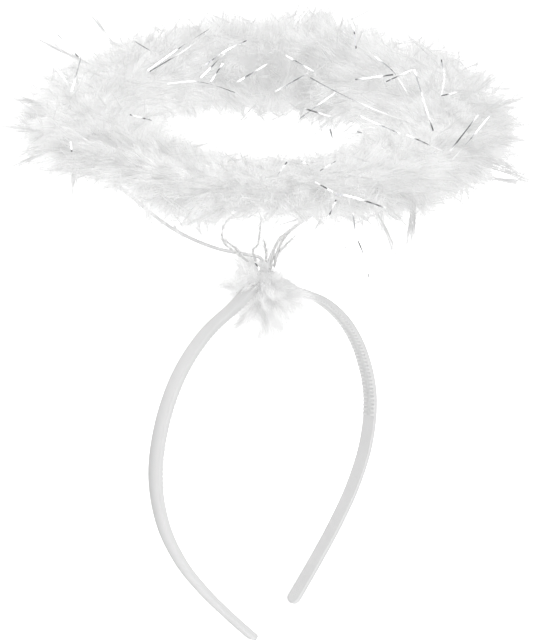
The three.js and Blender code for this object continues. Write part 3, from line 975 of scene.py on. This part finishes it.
def makeTinselPiece():
    # A flat strip along each strand, twisted about its own line by a slow random turn. Its shade is a wave
    # along the strand, a painted highlight where it flashes white, and painted shade darkens one edge.
    rng = np.random.default_rng(tinsel["seed"])
    paths = strandPaths(tinselStrands, tinsel["lift"], tinsel["stations"])
    angle, turn = spreadPlaces(tinsel["extra"], 77)
    root = onRing(fluffPoint(angle, turn, 0.95))
    away = unit(root - onRing(fluffPoint(angle, turn, 0.0)))
    across = unit(np.cross(away, rng.normal(size=away.shape)))
    long = rng.uniform(*tinsel["extraHalf"], (len(angle), 1, 1))
    t = np.linspace(-1, 1, tinsel["stations"])[None, :, None]
    bow = rng.uniform(*tinsel["extraBow"], (len(angle), 1, 1))
    extra = root[:, None] + across[:, None] * long * t + away[:, None] * (tinsel["extraLift"] - bow * t**2)
    seen = inPhoto(root)[:, 2] < inPhoto(onRing(fluffPoint(angle, turn, 0.0)))[:, 2] + 4
    paths = np.concatenate([paths, extra[~seen]])
    count = len(paths)
    sight = photoAxes()[2]
    side = unit(np.cross(unit(np.gradient(paths, axis=1)), sight))
    t = np.linspace(0, 1, tinsel["stations"])[None, :]
    twist = rng.uniform(-0.5, 0.5, (count, 1)) + rng.normal(size=(count, 1)) * 1.6 * t
    twist = twist + 0.35 * np.sin(t * rng.uniform(6, 14, (count, 1)) + rng.uniform(0, 6, (count, 1)))
    lean = np.cos(twist)[..., None] * sight + np.sin(twist)[..., None] * side
    widths = tinsel["width"] * rng.uniform(0.8, 1.15, (count, 1)) * np.ones_like(t)
    points, faces = ribbons(paths, widths, lean)
    # painted highlight in a wave along each strand, and painted shade on one edge
    wave = np.sin(t * rng.uniform(3, 9, (count, 1)) + rng.uniform(0, 6.3, (count, 1)))
    paintedFlash = 0.55 + 1.6 * wave
    shade = np.clip(paintedFlash[..., None] + [[[-0.35, 0.35]]], 0, 1)
    makePiece("tinsel_strands", points, faces, tinselFilm, ["marabou_halo"], shade)


quills = dict(
    radius=0.5,
    sides=6,
    depthTop=-46,  # mm from the crown along the line of sight where they meet the halo
    seed=53,
    tufts=60,  # of hair on each shaft
    hairs=5,  # in a tuft
    hairAside=1.2,
    hairAhead=3.2,
    hairWidth=0.22,
    hairShade=0.9,
)
quillStrands = [
    # a strand's photograph points from the tuft up to the underside of the halo's front
    ((249, 262), (231, 249), (225, 244), (222, 232), (229, 219), (247, 205)),
    ((240, 254), (236, 249), (225, 240)),
    ((256, 262), (253, 250), (257, 246), (260, 230), (261, 216)),
    ((270, 262), (279, 252), (294, 237)),
    ((266, 262), (266, 253), (264, 240)),
    ((270, 271), (273, 254), (280, 238), (291, 230), (303, 219)),
    ((274, 268), (278, 250), (286, 236), (298, 225), (310, 215)),
]


def makeQuills():
    # feather shafts that lead from the tuft up into the halo, each a tapering tube with short hair on it
    tuftTop = inPhoto(np.array([tuft["aside"], 0, 4.0]))
    rng = np.random.default_rng(quills["seed"])
    parts = []
    roots = []
    ahead = []
    for strand in quillStrands:
        places = np.array(strand, float)
        share = np.clip((tuftTop[1] - places[:, 1]) / 45, 0, 1)
        depths = tuftTop[2] - 4 + (quills["depthTop"] - tuftTop[2]) * share**1.3
        line = np.array([fromPhoto(x, y, depth) for (x, y), depth in zip(places, depths)])
        path = curveThrough(line, 8)
        taper = quills["radius"] * np.linspace(1, 0.55, len(path))
        skin = tube(path, taper, quills["sides"], np.array([0.3, 1, 0.2]))
        parts.append((skin.reshape(-1, 3), gridFaces(*skin.shape[:2])))
        place, forward = alongCurve(path, rng.uniform(0, curveLength(path), quills["tufts"]))
        roots.append(place)
        ahead.append(forward)
    points, faces = joined(parts)
    makePiece("feather_quills", points, faces, quill, ["marabou_tuft"])
    root = np.concatenate(roots)
    outward = unit(rng.normal(size=root.shape)) * quills["hairAside"]
    outward = outward + np.concatenate(ahead) * quills["hairAhead"]
    bend = rng.normal(size=root.shape) * 0.15
    paths = growBarbs(rng, root, root + outward, bend, quills["hairs"], np.full(len(root), 0.3), 0.05)
    points, faces = barbMesh(rng, paths, quills["hairWidth"])
    shade = np.full(points.shape[:3], quills["hairShade"])
    makePiece("quill_barbs", points, faces, down, ["marabou_tuft"], shade)


plumes = dict(seed=41, barbs=30, spread=1.3, width=0.26, shade=0.55)
plumeStrands = [
    # small plumes that stand out of the outline, from the down to their tips
    ((480, 165), (549, 182)), ((482, 176), (534, 187)), ((482, 158), (525, 170)), ((482, 112), (535, 93)),
    ((486, 138), (535, 139)), ((45, 104), (0, 95)), ((45, 132), (0, 127)), ((45, 134), (30, 142)),
    ((74, 148), (72, 170), (74, 198)), ((52, 150), (8, 168)), ((412, 195), (412, 225), (408, 257)),
    ((416, 195), (419, 220), (415, 250)), ((372, 205), (386, 236), (402, 259)),
    ((92, 66), (62, 50), (28, 38)), ((116, 48), (98, 25), (84, 3)), ((472, 95), (505, 66)),
]


def makePlumes():
    rng = np.random.default_rng(plumes["seed"])
    ends = strandPaths(plumeStrands, -2.0, 3)
    root, tip = ends[:, 0], ends[:, -1]
    bend = rng.normal(size=root.shape) * 0.05
    spread = np.full(len(root), plumes["spread"])
    paths = growBarbs(rng, root, tip, bend, plumes["barbs"], spread, 0.05)
    points, faces = barbMesh(rng, paths, plumes["width"])
    shade = np.full(points.shape[:3], plumes["shade"])
    makePiece("marabou_plumes", points, faces, down, ["marabou_halo"], shade)


makeTinselPiece()
makeQuills()
makePlumes()
print("strands placed")


# Floor and light


studio = dict(
    # an opal table lit from below, a big soft box above and a smaller one at each end
    world=0.53,
    glow=0.54,  # light given off by the floor
    boxes=[
        # name, place in metres, width, height, watts
        ("soft_box_top", (0.1, 0.2, 1.6), 1.6, 1.6, 15),
        ("soft_box_head", (0.25, 1.3, 0.9), 1.2, 0.8, 6.5),
        ("soft_box_band", (0.1, -1.4, 0.6), 1.2, 1.0, 4.5),
    ],
)


def makeFloor():
    size = 4
    mesh = bpy.data.meshes.new("studio_floor")
    corners = [(-size, -size, 0), (size, -size, 0), (size, size, 0), (-size, size, 0)]
    mesh.from_pydata(corners, [], [(0, 1, 2, 3)])
    material, tree = newMaterial("lit_opal_acrylic")
    place = addNode(tree, "TexCoord")
    cloud = addNode(tree, "TexNoise", {"Vector": place.outputs["Object"], "Scale": 3.0})
    tone = addNode(
        tree, "Mix", {"Factor": cloud.outputs["Fac"], "A": linear("f7f7f7"), "B": linear("f9f9f9")},
        data_type="RGBA",
    )
    body = addNode(
        tree, "BsdfPrincipled",
        {
            "Base Color": tone.outputs["Result"], "Roughness": 1.0, "Specular IOR Level": 0.0,
            "Emission Color": tone.outputs["Result"], "Emission Strength": studio["glow"],
        },
    )
    addNode(tree, "OutputMaterial", {"Surface": body.outputs[0]})
    mesh.materials.append(material)
    floor = bpy.data.objects.new("studio_floor", mesh)
    bpy.context.scene.collection.objects.link(floor)


def makeLights():
    world = bpy.data.worlds.new("studio")
    bpy.context.scene.world = world
    world.use_nodes = True
    world.node_tree.nodes["Background"].inputs["Color"].default_value = (1, 1, 1, 1)
    world.node_tree.nodes["Background"].inputs["Strength"].default_value = studio["world"]
    for name, place, width, height, watts in studio["boxes"]:
        data = bpy.data.lights.new(name, "AREA")
        data.shape = "RECTANGLE"
        data.size, data.size_y, data.energy = width, height, watts
        light = bpy.data.objects.new(name, data)
        light.location = place
        light.rotation_euler = (-light.location).to_track_quat("-Z", "Y").to_euler()
        bpy.context.scene.collection.objects.link(light)
    bpy.context.scene.view_settings.view_transform = "Standard"


makeFloor()
makeLights()
print("floor and lights set")
